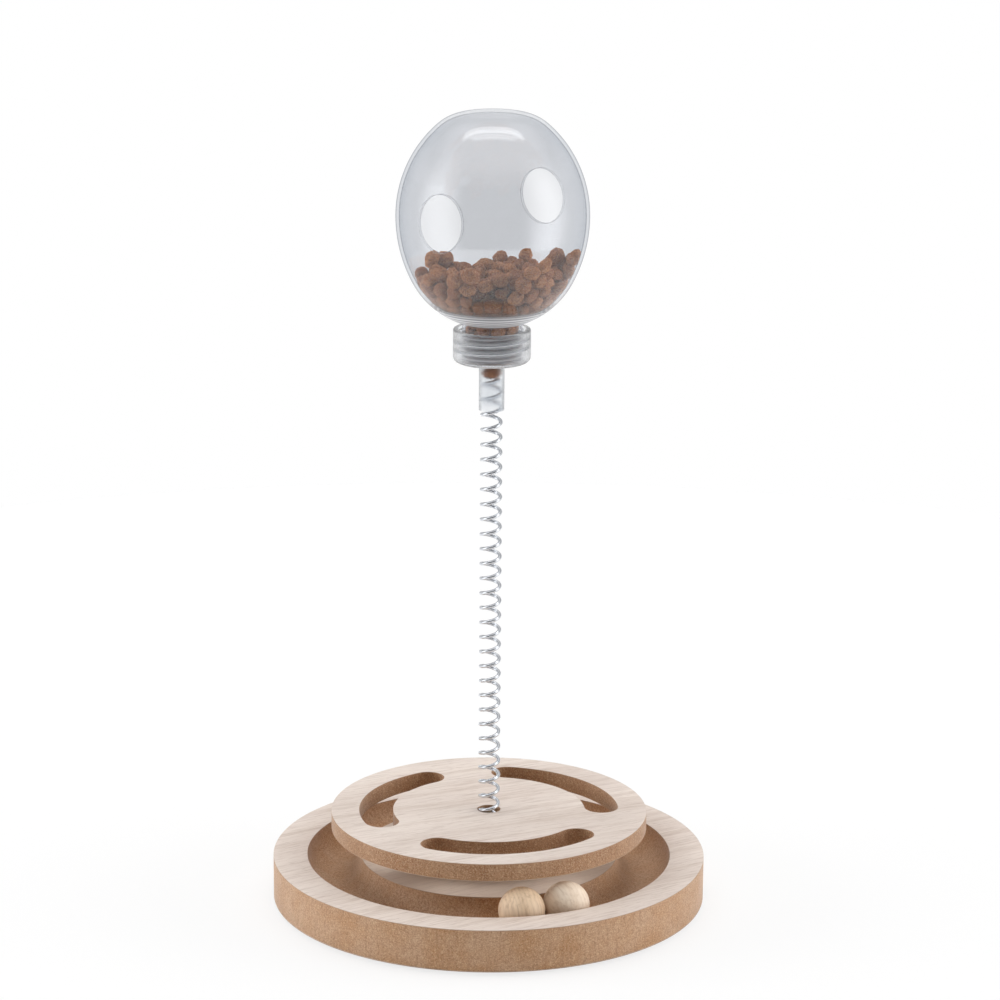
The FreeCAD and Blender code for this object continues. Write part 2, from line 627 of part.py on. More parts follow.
def make_heap():
    """Heap of treats: what fills the neck and the belly, up to a sloping top.

    A lump of one treat's width stands out of the slope wherever a coarse grid of
    rings has a place for it."""
    body = new_body("heap_filling", WIDEST, "sizes.heap_turn")
    filling = new_sketch(body, "filling", "XZ_Plane")
    draw_globe(filling, "sizes.globe_wall + sizes.seat_gap", NECK_END)
    revolve(body, filling)
    above = new_sketch(body, "above_the_heap", "XZ_Plane")
    side = "sizes.globe_diameter"
    rise = "sizes.globe_diameter * tan(sizes.heap_slope * 1 deg)"
    draw_outline(above, [
        ("0 - " + side, "0 - sizes.heap_drop - " + rise),
        (side, rise + " - sizes.heap_drop"),
        (side, side),
        ("0 - " + side, side),
    ])
    cut_through(body, above, both_ways=True)
    slope = FreeCAD.Rotation(Vector(0, -1, 0), size("heap_slope"))
    slope = FreeCAD.Rotation(UP, size("heap_turn")).multiply(slope)
    middle = Vector(0, 0, value(WIDEST) - size("heap_drop"))
    lumps = []
    for ring in range(3):
        for number in range(6 * ring or 1):
            turn = 2 * math.pi * number / (6 * ring or 1)
            across = size("lump_spacing") * ring
            place = Vector(across * math.cos(turn), across * math.sin(turn), size("lump_rise"))
            lumps.append(Part.makeSphere(size("kibble_width") / 2, middle + slope.multVec(place)))
    heap = doc.addObject("Part::Feature", "kibble_heap")
    heap.Label = "kibble_heap"
    heap.Shape = body.Shape.fuse(lumps)


def make_loose_kibble():
    """One treat that fell through the cap and lies on the spring's end."""
    kibble = doc.addObject("Part::Ellipsoid", "kibble_in_tube")
    kibble.Label = "kibble_in_tube"
    kibble.setExpression("Radius1", "sizes.kibble_height / 2")
    kibble.setExpression("Radius2", "sizes.kibble_width / 2")
    kibble.setExpression("Radius3", "sizes.kibble_width / 2")
    kibble.Angle1 = -90
    reach = "(sizes.kibble_width + sizes.wire_diameter) / 2 + sizes.seat_gap"
    coil = "(sizes.spring_outer - sizes.wire_diameter) / 2 - sizes.spring_tuck"
    put(kibble, "%s + sizes.spring_grip + sqrt((%s) ^ 2 - (%s) ^ 2)" % (TUBE_BOTTOM, reach, coil))


make_base_board()
make_base_veneers()
make_feet()
make_balls()
make_hub()
make_tray()
make_screws()
make_peg()
make_spring()
make_cap()
make_globe()
make_heap()
make_loose_kibble()
doc.recompute()

NODES = [
    "base_board", "rim_veneer", "plateau_veneer", "backing_veneer",
    "foot_front_right", "foot_back_right", "foot_back_left", "foot_front_left",
    "hub", "tray_board", "tray_top_veneer", "tray_under_veneer", "hub_screws", "spring_peg",
    "coil_spring", "screw_cap", "kibble_in_tube", "kibble_heap", "treat_globe", "ball_1", "ball_2",
]
for thing in doc.Objects:
    if "Invalid" in thing.State or "Error" in thing.State:
        raise RuntimeError("%s failed: %s" % (thing.Name, thing.State))
os.makedirs("parts", exist_ok=True)
for name in NODES:
    shape = doc.getObjectsByLabel(name)[0].Shape
    if shape.isNull() or not shape.isValid() or not shape.Solids:
        raise RuntimeError(name + " has no valid solid")
    shape.exportStep("parts/%s.step" % name)
    box = shape.BoundBox
    print("%-18s %d solids %9.0f mm3  z %.1f to %.1f" % (name, len(shape.Solids), shape.Volume, box.ZMin, box.ZMax))
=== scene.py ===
import math

import bmesh
import bpy
import numpy as np
from mathutils import Matrix, Vector, noise


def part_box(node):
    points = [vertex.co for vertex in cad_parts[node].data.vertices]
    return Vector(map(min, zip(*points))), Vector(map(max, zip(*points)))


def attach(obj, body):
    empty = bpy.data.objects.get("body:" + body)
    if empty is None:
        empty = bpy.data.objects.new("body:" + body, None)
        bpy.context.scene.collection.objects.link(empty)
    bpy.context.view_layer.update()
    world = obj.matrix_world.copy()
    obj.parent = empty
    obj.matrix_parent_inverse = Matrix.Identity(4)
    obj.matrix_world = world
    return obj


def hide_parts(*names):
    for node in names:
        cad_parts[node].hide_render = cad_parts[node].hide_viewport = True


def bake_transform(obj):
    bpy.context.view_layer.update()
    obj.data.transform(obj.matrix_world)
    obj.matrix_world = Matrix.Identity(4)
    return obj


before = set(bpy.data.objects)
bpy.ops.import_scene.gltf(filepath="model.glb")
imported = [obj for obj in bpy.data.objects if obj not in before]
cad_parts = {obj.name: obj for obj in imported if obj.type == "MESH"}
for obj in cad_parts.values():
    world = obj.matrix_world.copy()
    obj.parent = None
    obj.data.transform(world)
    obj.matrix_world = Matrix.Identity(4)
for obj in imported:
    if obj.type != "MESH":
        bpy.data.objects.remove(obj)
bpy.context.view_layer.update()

MM = 0.001
FULL = 2 * math.pi


# Sizes in millimetres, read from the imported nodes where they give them

def span(node):
    """Lowest and highest corner of a node in millimetres."""
    low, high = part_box(node)
    return low / MM, high / MM


def levels(node):
    """Bottom and top of a node in millimetres."""
    low, high = span(node)
    return low.z, high.z


def reach(node):
    """Outer radius of a node about the toy's axis in millimetres."""
    return span(node)[1].x


CORE_BOTTOM, CORE_TOP = levels("base_board")
BACKING_BOTTOM = levels("backing_veneer")[0]
VENEER_TOP = levels("rim_veneer")[1]
BASE_REACH = reach("base_board")
TRACK_MIDDLE = 86.3
TRACK_CUTTER = 14.8
HUB_REACH = reach("hub")
HUB_BOTTOM, HUB_TOP = levels("hub")
WELL = 7.1
TRAY_REACH = reach("tray_board")
SPRING_HOLE = 6.45
SLOT_MIDDLE = 62.8
SLOT_HALF = 9.4
SLOT_SPAN = math.radians(76.4)
SLOT_TURNS = [math.radians(a) for a in (42, 162, 282)]
PEG_BOTTOM, PEG_TOP = levels("spring_peg")
PEG_REACH = 3.8
SCREW_CIRCLE = 19.0
SCREW_SHANK = 2.0
SCREW_HEAD = 4.0
SCREW_ROOM = 0.1
SCREW_BOTTOM, SCREW_TOP = levels("hub_screws")
WIRE = 2.1
COIL = 5.1
COIL_LOW = 27.68
COIL_HIGH = 296.6
COIL_TURNS = 32.014
COIL_PHASE = math.radians(-65)
COIL_TUCK = 0.5
COIL_SPLIT = 163.0
TUBE_BOTTOM, CAP_TOP = levels("screw_cap")
CAP_REACH = reach("screw_cap")
CAP_BOTTOM = 306.7
CAP_FLOOR = 2
CAP_INNER = 18.4
TUBE_BORE = 6.25
TUBE_REACH = 6.9
GLOBE_BOTTOM, GLOBE_TOP = levels("treat_globe")
GLOBE_REACH = 52.0
GLOBE_FLAT = 13.5
WIDEST = 386.3
BELLY_DROP = 14.1
NECK_DROP = 42.62
NECK = 16.3
WALL = 1.8
THREAD_PITCH = 4.5
THREAD_DEPTH = 1.0
HOLE_TURN = math.radians(-33.5)
HOLE_LEVEL = 389.8
HOLE_WIDE = 13.5
HOLE_TALL = 15.25
HEAP_LEVEL = 357.2
HEAP_DISH = 8.5
HEAP_SLOPE = math.radians(8)
HEAP_TURN = math.radians(-45)
MOUNDS = ((-34, 26, 3.8, 16), (40, 6, 4.5, 13), (-12, 30, 0.5, 12))
TREATS = 360
TREAT_SMALL = 3.5
TREAT_LARGE = 4.9
SETTLING = 130


# Strengths of the studio's lamps: what falls on the toy, and what gloss reflects of them

SIDE_LIGHT = 6.7
SIDE_GLEAM = 1.7
OVER_LIGHT = 2.6
OVER_GLEAM = 2.7
SKY_LIGHT = 0.76
BACK_LIGHT = 0.85
BACK_GLEAM = 0.6
DIM_LIGHT = 0.06
DIM_GLEAM = 0.12


# Shader maths

class Field:
    """One socket of a finish, which takes part in sums."""

    def __init__(self, finish, socket):
        self.finish = finish
        self.socket = socket

    def __add__(self, other):
        return self.finish.maths("ADD", self, other)

    def __radd__(self, other):
        return self.finish.maths("ADD", other, self)

    def __sub__(self, other):
        return self.finish.maths("SUBTRACT", self, other)

    def __rsub__(self, other):
        return self.finish.maths("SUBTRACT", other, self)

    def __mul__(self, other):
        return self.finish.maths("MULTIPLY", self, other)

    def __rmul__(self, other):
        return self.finish.maths("MULTIPLY", other, self)

    def __truediv__(self, other):
        return self.finish.maths("DIVIDE", self, other)

    def __pow__(self, other):
        return self.finish.maths("POWER", self, other)

    def __abs__(self):
        return self.finish.maths("ABSOLUTE", self)


class Finish:
    """A material, or the world, built node by node."""

    def __init__(self, name, world=None):
        self.block = world or bpy.data.materials.new(name)
        self.block.use_nodes = True
        self.tree = self.block.node_tree
        self.tree.nodes.clear()

    def node(self, kind, settings, sockets, out=0):
        """A node of one kind: its settings go in first, then its sockets' values or links."""
        made = self.tree.nodes.new(kind)
        for key, value in settings.items():
            setattr(made, key, value)
        for key, value in sockets.items():
            self.join(made.inputs[key], value)
        return Field(self, made.outputs[out]) if made.outputs else made

    def maths(self, operation, *terms):
        return self.node("ShaderNodeMath", {"operation": operation}, dict(enumerate(terms)))

    def join(self, socket, value):
        if isinstance(value, Field):
            self.tree.links.new(value.socket, socket)
        elif socket.type == "RGBA":
            socket.default_value = (*value, 1)
        else:
            socket.default_value = value

    def place(self, turn=(0, 0, 0), stretch=(1, 1, 1), shift=(0, 0, 0)):
        """Object coordinates in metres, shifted, then turned, then stretched."""
        here = self.node("ShaderNodeTexCoord", {}, {}, "Object")
        shifted = self.node("ShaderNodeMapping", {}, {"Vector": here, "Location": shift})
        turned = self.node("ShaderNodeMapping", {}, {"Vector": shifted, "Rotation": turn})
        return self.node("ShaderNodeVectorMath", {"operation": "MULTIPLY"},
                         {0: turned, 1: stretch})

    def speckle(self, where, scale, detail=3.0, rough=0.5):
        """Noise around 0.5."""
        return self.node("ShaderNodeTexNoise", {},
                         {"Vector": where, "Scale": scale, "Detail": detail, "Roughness": rough})

    def between(self, value, low, high, to_low=0.0, to_high=1.0):
        """value eased from low..high to to_low..to_high and held there."""
        return self.node("ShaderNodeMapRange", {"interpolation_type": "SMOOTHSTEP"},
                         {"Value": value, "From Min": low, "From Max": high,
                          "To Min": to_low, "To Max": to_high})

    def blended(self, share, first, second):
        """Colour between first and second."""
        return self.node("ShaderNodeMix", {"data_type": "RGBA"},
                         {0: share, 6: first, 7: second}, 2)

    def layered(self, share, under, over):
        """A surface with share of over on under."""
        return self.node("ShaderNodeMixShader", {}, {0: share, 1: under, 2: over})

    def seen_plain(self):
        """1 where the camera looks straight on or through clear plastic, and 0 elsewhere."""
        return self.maths("MAXIMUM", self.node("ShaderNodeLightPath", {}, {}, "Is Camera Ray"),
                          self.node("ShaderNodeLightPath", {}, {}, "Is Transmission Ray"))

    def relief(self, height, depth):
        """Bump of a height field, depth in metres for a height of 1."""
        return self.node("ShaderNodeBump", {},
                         {"Height": height, "Distance": depth, "Strength": 1.0})

    def axis(self, where, letter):
        return self.node("ShaderNodeSeparateXYZ", {}, {"Vector": where}, letter)

    def shell(self, **sockets):
        """The principled shader, its sockets named with _ for a space."""
        return self.node("ShaderNodeBsdfPrincipled", {},
                         {key.replace("_", " "): value for key, value in sockets.items()})

    def done(self, surface):
        kind = "World" if isinstance(self.block, bpy.types.World) else "Material"
        self.node("ShaderNodeOutput" + kind, {}, {"Surface": surface})
        return self.block


def rgb(*levels_255):
    """A colour given as in a picture, 0 to 255, as the shader wants it."""
    return tuple(c / 12.92 if c <= 0.04045 else ((c + 0.055) / 1.055) ** 2.4
                 for c in (level / 255 for level in levels_255))


# Finishes

def fibreboard_finish(name, pale, tan, speck):
    """Bare fibreboard: pressed dust, finely speckled, with upright streaks from the cutter."""
    f = Finish(name)
    here = f.place()
    clouds = f.speckle(here, 45, 4, 0.6)
    fibre = f.speckle(here, 1000, 3, 0.7)
    dust = f.speckle(f.place(shift=(0.5, 0.2, 0.1)), 1400, 2, 0.6)
    streak = f.speckle(f.place(stretch=(1, 1, 0.08)), 800, 3, 0.6)
    colour = f.blended(f.between(clouds, 0.3, 0.7), rgb(*pale), rgb(*tan))
    colour = f.blended(f.between(fibre, 0.46, 0.62) * 0.5, colour, rgb(*speck))
    colour = f.blended(f.between(dust, 0.50, 0.66) * 0.45, colour, rgb(226, 196, 158))
    colour = f.blended(f.between(streak, 0.5, 0.7) * 0.24, colour, rgb(*speck))
    height = fibre * 0.5 + dust * 0.3 + streak * 0.3
    return f.done(f.shell(Base_Color=colour, Roughness=f.between(fibre, 0.3, 0.7, 0.55, 0.7),
                          Sheen_Weight=0.3, Sheen_Roughness=0.4,
                          Normal=f.relief(height, 0.00025)))


def veneer_finish(name, turn, shift, pale=(232, 219, 209), tan=(221, 207, 197)):
    """Pale straight-grained veneer: soft growth lines, fine streaks and short pores, with
    a browner cut edge."""
    f = Finish(name)
    turn = (0, 0, math.radians(turn))
    drift = f.speckle(f.place(turn, (5, 26, 5), shift), 1.0, 2)
    growth = f.speckle(f.place(turn, (7, 210, 7), shift), 1.0, 4, 0.7)
    streak = f.speckle(f.place(turn, (40, 760, 40), shift), 1.0, 3, 0.6)
    pores = f.speckle(f.place(turn, (130, 1700, 130), shift), 1.0, 2, 0.6)
    colour = f.blended(f.between(drift, 0.3, 0.7), rgb(*pale), rgb(*tan))
    colour = f.blended(f.between(growth, 0.48, 0.66) * 0.42, colour, rgb(196, 176, 161))
    colour = f.blended(f.between(streak, 0.50, 0.66) * 0.42, colour, rgb(184, 163, 149))
    colour = f.blended(f.between(pores, 0.54, 0.74) * 0.5, colour, rgb(172, 148, 132))
    flat = abs(f.axis(f.node("ShaderNodeNewGeometry", {}, {}, "Normal"), "Z"))
    colour = f.blended(f.between(flat, 0.15, 0.6), rgb(170, 136, 106), colour)
    return f.done(f.shell(Base_Color=colour, Roughness=f.between(streak, 0.3, 0.8, 0.62, 0.5),
                          Normal=f.relief(pores * 0.5 + streak * 0.5, 0.00008)))


def turned_wood_finish(name, centre, turn, pale, tan, dark):
    """Close-grained turned wood, its growth rings about a line to one side of centre."""
    f = Finish(name)
    spacing = 2.2 * MM
    shift = tuple(-c * MM for c in centre)
    here = f.place(turn, (1, 1, 0.12), shift)
    bent = f.place(turn, (1, 1, 0.05), shift)
    side = f.axis(bent, "X") + 0.055
    other = f.axis(bent, "Y") + 0.02
    away = f.maths("SQRT", side * side + other * other)
    wobble = f.speckle(here, 60, 3)
    ring = f.maths("SINE", (away + wobble * 0.008) * (FULL / spacing))
    grain = f.speckle(f.place(turn, (1, 1, 0.035), shift), 700, 4, 0.65)
    clouds = f.speckle(f.place(turn, (1, 1, 0.2), shift), 90, 2)
    colour = f.blended(f.between(clouds, 0.3, 0.7), rgb(*pale), rgb(*tan))
    colour = f.blended(f.between(ring, -0.2, 1.0) * 0.16, colour, rgb(*dark))
    colour = f.blended(f.between(grain, 0.48, 0.66) * 0.4, colour, rgb(*dark))
    return f.done(f.shell(Base_Color=colour, Roughness=f.between(grain, 0.3, 0.7, 0.5, 0.62),
                          Normal=f.relief(grain, 0.00006)))


def steel_finish(name, tint, low, high):
    """Plated steel with faint marks."""
    f = Finish(name)
    marks = f.speckle(f.place(), 900, 2, 0.6)
    return f.done(f.shell(Base_Color=rgb(*tint), Metallic=1.0,
                          Roughness=f.between(marks, 0.3, 0.7, low, high)))


def clear_finish():
    """Clear blown plastic, ringed with frost where the neck meets the belly, with kibble dust on
    its wall where the heap lies, and painted shade as a dark line along its outline and a thin
    grey line round its holes."""
    f = Finish("clear_plastic")
    here = f.place()
    level = f.axis(here, "Z")
    facing = f.node("ShaderNodeLayerWeight", {}, {"Blend": 0.5}, "Facing")
    thin = f.node("ShaderNodeBsdfTransparent", {}, {"Color": (0.902, 0.908, 0.920)})
    slanting = f.node("ShaderNodeBsdfTransparent", {}, {"Color": (0.80, 0.82, 0.85)})
    # Grey tint near the outline where the wall is seen edge-on: painted shade for the dark line
    # the wall shows there.
    painted_outline_shade = f.node("ShaderNodeBsdfTransparent", {}, {"Color": (0.48, 0.50, 0.54)})
    gleam = f.node("ShaderNodeBsdfAnisotropic", {}, {"Color": (1, 1, 1), "Roughness": 0.06})
    wall = f.layered(facing ** 3.0 * f.between(level, 0.430, 0.438, 1.0, 0.25), thin, slanting)
    wall = f.layered(f.between(facing, 0.84, 0.93) * 0.6, wall, painted_outline_shade)
    wall = f.layered(facing ** 5.0 * 0.26 + 0.055, wall, gleam)

    haze = f.speckle(here, 40, 3)
    film = f.speckle(here, 600, 3, 0.6)
    dust = f.shell(Base_Color=rgb(215, 205, 200), Roughness=0.8)
    rise = level - (f.axis(here, "X") * math.cos(HEAP_TURN)
                    + f.axis(here, "Y") * math.sin(HEAP_TURN)) * math.tan(HEAP_SLOPE)
    low = f.between(rise + (haze - 0.5) * 0.01, 0.335, 0.364, 1.0, 0.0)
    spread = low * (facing * facing * 0.15 + 0.01)
    wall = f.layered(spread * f.between(film, 0.3, 0.7, 0.6, 1.4), wall, dust)

    across, back = f.axis(here, "X"), f.axis(here, "Y")
    away = f.maths("SQRT", across * across + back * back)
    ring = f.between(f.maths("SINE", away * (FULL / 0.0026)), -0.5, 0.9)
    helix = level * (FULL / 0.00225) - f.maths("ARCTAN2", back, across)
    ring = ring * f.between(level, 0.3240, 0.3250) + (
        f.between(f.maths("SINE", helix), 0.2, 0.9) * f.between(level, 0.3240, 0.3250, 1.0, 0.0))
    frost = f.shell(Base_Color=f.blended(ring, rgb(150, 152, 158), rgb(252, 253, 255)),
                    Roughness=0.4)
    thick = f.between(level, 0.3345, 0.3400, 0.66, 0.0) * f.between(level, 0.3284, 0.3292)
    neck = f.between(level, 0.3215, 0.3228, 0.42, 0.0)
    wall = f.layered(thick + neck, wall, frost)

    swung = f.place(turn=(0, 0, -HOLE_TURN))
    wide = f.axis(swung, "X") / (HOLE_WIDE * MM)
    tall = (level - HOLE_LEVEL * MM) / (HOLE_TALL * MM)
    off = f.maths("SQRT", wide * wide + tall * tall)
    # Thin grey line round each hole: painted shade for the dark line the cut wall shows.
    edge = f.shell(Base_Color=rgb(150, 153, 160), Roughness=0.3)
    rim = f.between(off, 1.001, 1.003) * f.between(off, 1.012, 1.026, 1.0, 0.0)
    return f.done(f.layered(rim * 0.6, wall, edge))


def cap_finish():
    """Frosted moulded plastic, greyer down the spring tube."""
    f = Finish("frosted_plastic")
    here = f.place()
    frost = f.speckle(here, 120, 3)
    tube = f.between(f.axis(here, "Z"), 0.306, 0.307, 1.0, 0.0)
    colour = f.blended(tube, (0.93, 0.94, 0.955), (0.88, 0.90, 0.92))
    return f.done(f.shell(Base_Color=colour, IOR=1.38, Transmission_Weight=1.0,
                          Roughness=f.between(frost, 0.3, 0.7, 0.21, 0.27) + tube * 0.12))


def kibble_finish():
    """Dry baked kibble: each piece has its own tone and a crumbly, pitted skin, darker in its
    dents and paler on its fine grain, partly its own pits and crumbs and partly painted shade and
    painted highlight; it has painted shade where it lies against its neighbours."""
    f = Finish("kibble")
    tone = f.node("ShaderNodeAttribute", {"attribute_name": "tone"}, {}, "Fac")
    here = f.place()
    painted_shade = f.node("ShaderNodeAttribute", {"attribute_name": "painted_shade"}, {}, "Fac")
    lump = f.speckle(here, 260, 2, 0.5)
    crumb = f.speckle(here, 800, 4, 0.7)
    grain = f.speckle(here, 1500, 3, 0.7)
    colour = f.blended(tone, rgb(152, 80, 34), rgb(204, 132, 74))
    # Darker where the skin dips and paler on the raised fine grain: partly the kibble's own pits
    # and crumbs, partly painted shade in the dents and painted highlight on the grain.
    colour = f.blended(f.between(crumb, 0.36, 0.50, 0.55, 0.0), colour, rgb(104, 52, 20))
    colour = f.blended(f.between(grain, 0.38, 0.50, 0.6, 0.0), colour, rgb(104, 52, 20))
    colour = f.blended(f.between(grain, 0.52, 0.64) * 0.6, colour, rgb(230, 182, 132))
    # Painted shade where a piece lies against its neighbours.
    colour = f.blended(f.between(painted_shade, 0.1, 0.9) * 0.85, colour, rgb(58, 27, 10))
    height = lump * 0.4 + crumb * 0.45 + grain * 0.15
    return f.done(f.shell(Base_Color=colour, Roughness=0.85, Normal=f.relief(height, 0.0030)))


def rubber_finish():
    """Matt grey rubber."""
    f = Finish("grey_rubber")
    pits = f.speckle(f.place(), 1100, 3, 0.6)
    colour = f.blended(f.between(pits, 0.4, 0.7), rgb(142, 142, 144), rgb(126, 126, 129))
    return f.done(f.shell(Base_Color=colour, Roughness=f.between(pits, 0.3, 0.7, 0.6, 0.8),
                          Normal=f.relief(pits, 0.0001)))


# Mesh making

def outline(bm, start, legs, closed=False):
    """Line in the upright plane: a leg (across, up) runs straight there, and a leg
    (across, up, degrees, parts) swings clockwise about that centre."""
    first = tip = bm.verts.new((start[0], 0, start[1]))
    for leg in legs:
        if len(leg) == 2:
            tip, last = bm.verts.new((leg[0], 0, leg[1])), tip
            bm.edges.new((last, tip))
        else:
            across, up, degrees, parts = leg
            swung = bmesh.ops.spin(bm, geom=[tip], cent=(across, 0, up), axis=(0, 1, 0),
                                   angle=math.radians(degrees), steps=parts)
            tip = next(v for v in swung["geom_last"] if isinstance(v, bmesh.types.BMVert))
    if closed:
        bm.edges.new((tip, first))


def turned(start, legs, parts, closed=False):
    """A turned shape in millimetres, its outline spun about the toy's axis."""
    bm = bmesh.new()
    outline(bm, start, legs, closed)
    bmesh.ops.spin(bm, geom=bm.verts[:] + bm.edges[:], cent=(0, 0, 0), axis=(0, 0, 1),
                   angle=FULL, steps=parts, use_merge=True)
    bmesh.ops.remove_doubles(bm, verts=bm.verts, dist=1e-4)
    bmesh.ops.recalc_face_normals(bm, faces=bm.faces)
    return bm


def ease_edges(bm, width, from_angle=30, beyond=0.0):
    """Rounds the edges sharper than from_angle, from beyond outwards."""
    sharp = [e for e in bm.edges if len(e.link_faces) == 2
             and e.calc_face_angle(0) > math.radians(from_angle)
             and e.verts[0].co.xy.length >= beyond]
    bmesh.ops.bevel(bm, geom=sharp, offset=width, offset_type="OFFSET", segments=2,
                    profile=0.5, affect="EDGES", material=-1, clamp_overlap=True)
    return bm


def swing(bm, turn, letter="Z", verts=None):
    """Turns about one of the frame's axes."""
    bmesh.ops.rotate(bm, verts=verts or bm.verts, cent=(0, 0, 0),
                     matrix=Matrix.Rotation(turn, 3, letter))


def move(bm, across=0.0, back=0.0, up=0.0, turn=0.0, verts=None):
    """Turns about the toy's axis and then shifts, in millimetres."""
    swing(bm, turn, verts=verts)
    bmesh.ops.translate(bm, verts=verts or bm.verts, vec=(across, back, up))
    return bm


def stored(bm, name):
    """Mesh data of bm, which is used up."""
    mesh = bpy.data.meshes.new(name)
    bm.to_mesh(mesh)
    bm.free()
    return mesh


def as_mesh(bm, name):
    """The mesh in metres."""
    bmesh.ops.scale(bm, verts=bm.verts, vec=(MM, MM, MM))
    return stored(bm, name)


def piece(bm, name, finish, body, slot, *nodes, smooth_to=35):
    """Puts a finished mesh in the scene as a piece that stands for its nodes and, where a
    body is given, rides on it."""
    obj = bpy.data.objects.new(name, as_mesh(bm, name))
    bpy.context.scene.collection.objects.link(obj)
    obj.data.shade_smooth()
    obj.data.set_sharp_from_angle(angle=math.radians(smooth_to))
    obj.data.materials.append(finish)
    if body:
        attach(obj, body)
    if nodes:
        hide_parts(*nodes)
    return obj


def joined(bm, other):
    """Adds the mesh of other to bm."""
    mesh = stored(other, "passing")
    bm.from_mesh(mesh)
    bpy.data.meshes.remove(mesh)
    return bm


def cut(bm, cutter):
    """bm less the closed shape of cutter."""
    pair = []
    for part in (bm, cutter):
        obj = bpy.data.objects.new("cutting", stored(part, "cutting"))
        bpy.context.scene.collection.objects.link(obj)
        pair.append(obj)
    whole, tool = pair
    boolean = whole.modifiers.new("cut", "BOOLEAN")
    boolean.operation = "DIFFERENCE"
    boolean.solver = "EXACT"
    boolean.object = tool
    result = bpy.data.meshes.new_from_object(
        whole.evaluated_get(bpy.context.evaluated_depsgraph_get()))
    left = bmesh.new()
    left.from_mesh(result)
    for obj in pair:
        bpy.data.meshes.remove(obj.data)
    bpy.data.meshes.remove(result)
    return left


# The wooden base

def ring_sheet(inner, outer, bottom, top):
    """Flat turned ring or disc of sheet with softened corners."""
    sheet = turned((inner, bottom), [(outer, bottom), (outer, top), (inner, top)],
                   closed=inner > 0, parts=200)
    return ease_edges(sheet, 0.2)


def screw_places():
    return [FULL / 3 * number for number in range(3)]


def drill(bm, radius, low, high):
    """Three upright holes on the screws' circle."""
    cutter = bmesh.new()
    for turn in screw_places():
        made = bmesh.ops.create_cone(cutter, cap_ends=True, segments=32, radius1=radius,
                                     radius2=radius, depth=high - low)["verts"]
        move(cutter, SCREW_CIRCLE, 0, (low + high) / 2, 0, made)
        swing(cutter, turn, verts=made)
    return cut(bm, cutter)


def make_base():
    """Base board with its round-bottomed track, the two veneers beside it and one beneath."""
    fibre = fibreboard_finish("fibreboard", (192, 155, 123), (182, 137, 96), (134, 90, 56))
    inner = TRACK_MIDDLE - TRACK_CUTTER
    outer = TRACK_MIDDLE + TRACK_CUTTER
    board = turned((0, CORE_BOTTOM), [
        (BASE_REACH, CORE_BOTTOM), (BASE_REACH, CORE_TOP), (outer, CORE_TOP),
        (TRACK_MIDDLE, CORE_TOP, 180, 40), (PEG_REACH, CORE_TOP),
        (PEG_REACH, PEG_BOTTOM), (0, PEG_BOTTOM)], parts=240)
    ease_edges(board, 0.25, beyond=BASE_REACH - 1)
    board = drill(board, SCREW_HEAD + SCREW_ROOM, CORE_BOTTOM - 1, CORE_BOTTOM + 2)
    piece(board, "base_disc", fibre, "base", "fibreboard", "base_board")
    rim = ring_sheet(outer, BASE_REACH, CORE_TOP, VENEER_TOP)
    piece(rim, "rim_sheet", veneer_finish("rim_veneer", -32, (0.03, 0.011, 0)), "base",
          "veneer", "rim_veneer")
    plateau = ring_sheet(PEG_REACH, inner, CORE_TOP, VENEER_TOP)
    # The plateau's veneer gets darker colours than the rim's: painted shade for the light the
    # tray above holds off it.
    piece(plateau, "plateau_sheet", veneer_finish("plateau_veneer", -32, (0.03, 0.011, 0),
                                                  (215, 197, 181), (204, 186, 170)),
          "base", "veneer", "plateau_veneer")
    backing = drill(ring_sheet(0, BASE_REACH, BACKING_BOTTOM, CORE_BOTTOM),
                    SCREW_HEAD + SCREW_ROOM, BACKING_BOTTOM - 1, CORE_BOTTOM + 1)
    piece(backing, "backing_sheet", veneer_finish("backing_veneer", 35, (0, 0, 0)), "base",
          "veneer", "backing_veneer")


def make_feet():
    """Four soft pads with a rounded lower rim."""
    rubber = rubber_finish()
    rim = 0.6
    for side in ("front_right", "back_right", "back_left", "front_left"):
        low, high = span("foot_" + side)
        radius = (high.x - low.x) / 2
        pad = turned((0, low.z), [(radius - rim, low.z), (radius - rim, low.z + rim, -90, 6),
                                  (radius, high.z), (0, high.z)], parts=48)
        move(pad, (low.x + high.x) / 2, (low.y + high.y) / 2)
        piece(pad, "pad_" + side, rubber, "base", "grey_rubber", "foot_" + side)


def make_hub():
    """Turned spacer between base and tray, with the well for the spring."""
    hub = turned((WELL, HUB_BOTTOM), [(HUB_REACH, HUB_BOTTOM), (HUB_REACH, HUB_TOP),
                                      (WELL, HUB_TOP)], closed=True, parts=128)
    hub = drill(ease_edges(hub, 0.4), SCREW_SHANK + SCREW_ROOM, HUB_BOTTOM - 1, HUB_TOP + 1)
    wood = turned_wood_finish("turned_wood", (0, 0, 30), (0.1, 0.05, 0), (222, 190, 150),
                              (208, 172, 130), (176, 134, 96))
    piece(hub, "turned_hub", wood, "base", "turned_wood", "hub")
    tip = 0.8
    peg = turned((0, PEG_BOTTOM), [(PEG_REACH, PEG_BOTTOM), (PEG_REACH, PEG_TOP - tip),
                                   (PEG_REACH - tip, PEG_TOP), (0, PEG_TOP)], parts=48)
    piece(peg, "spring_dowel", wood, "base", "turned_wood", "spring_peg")


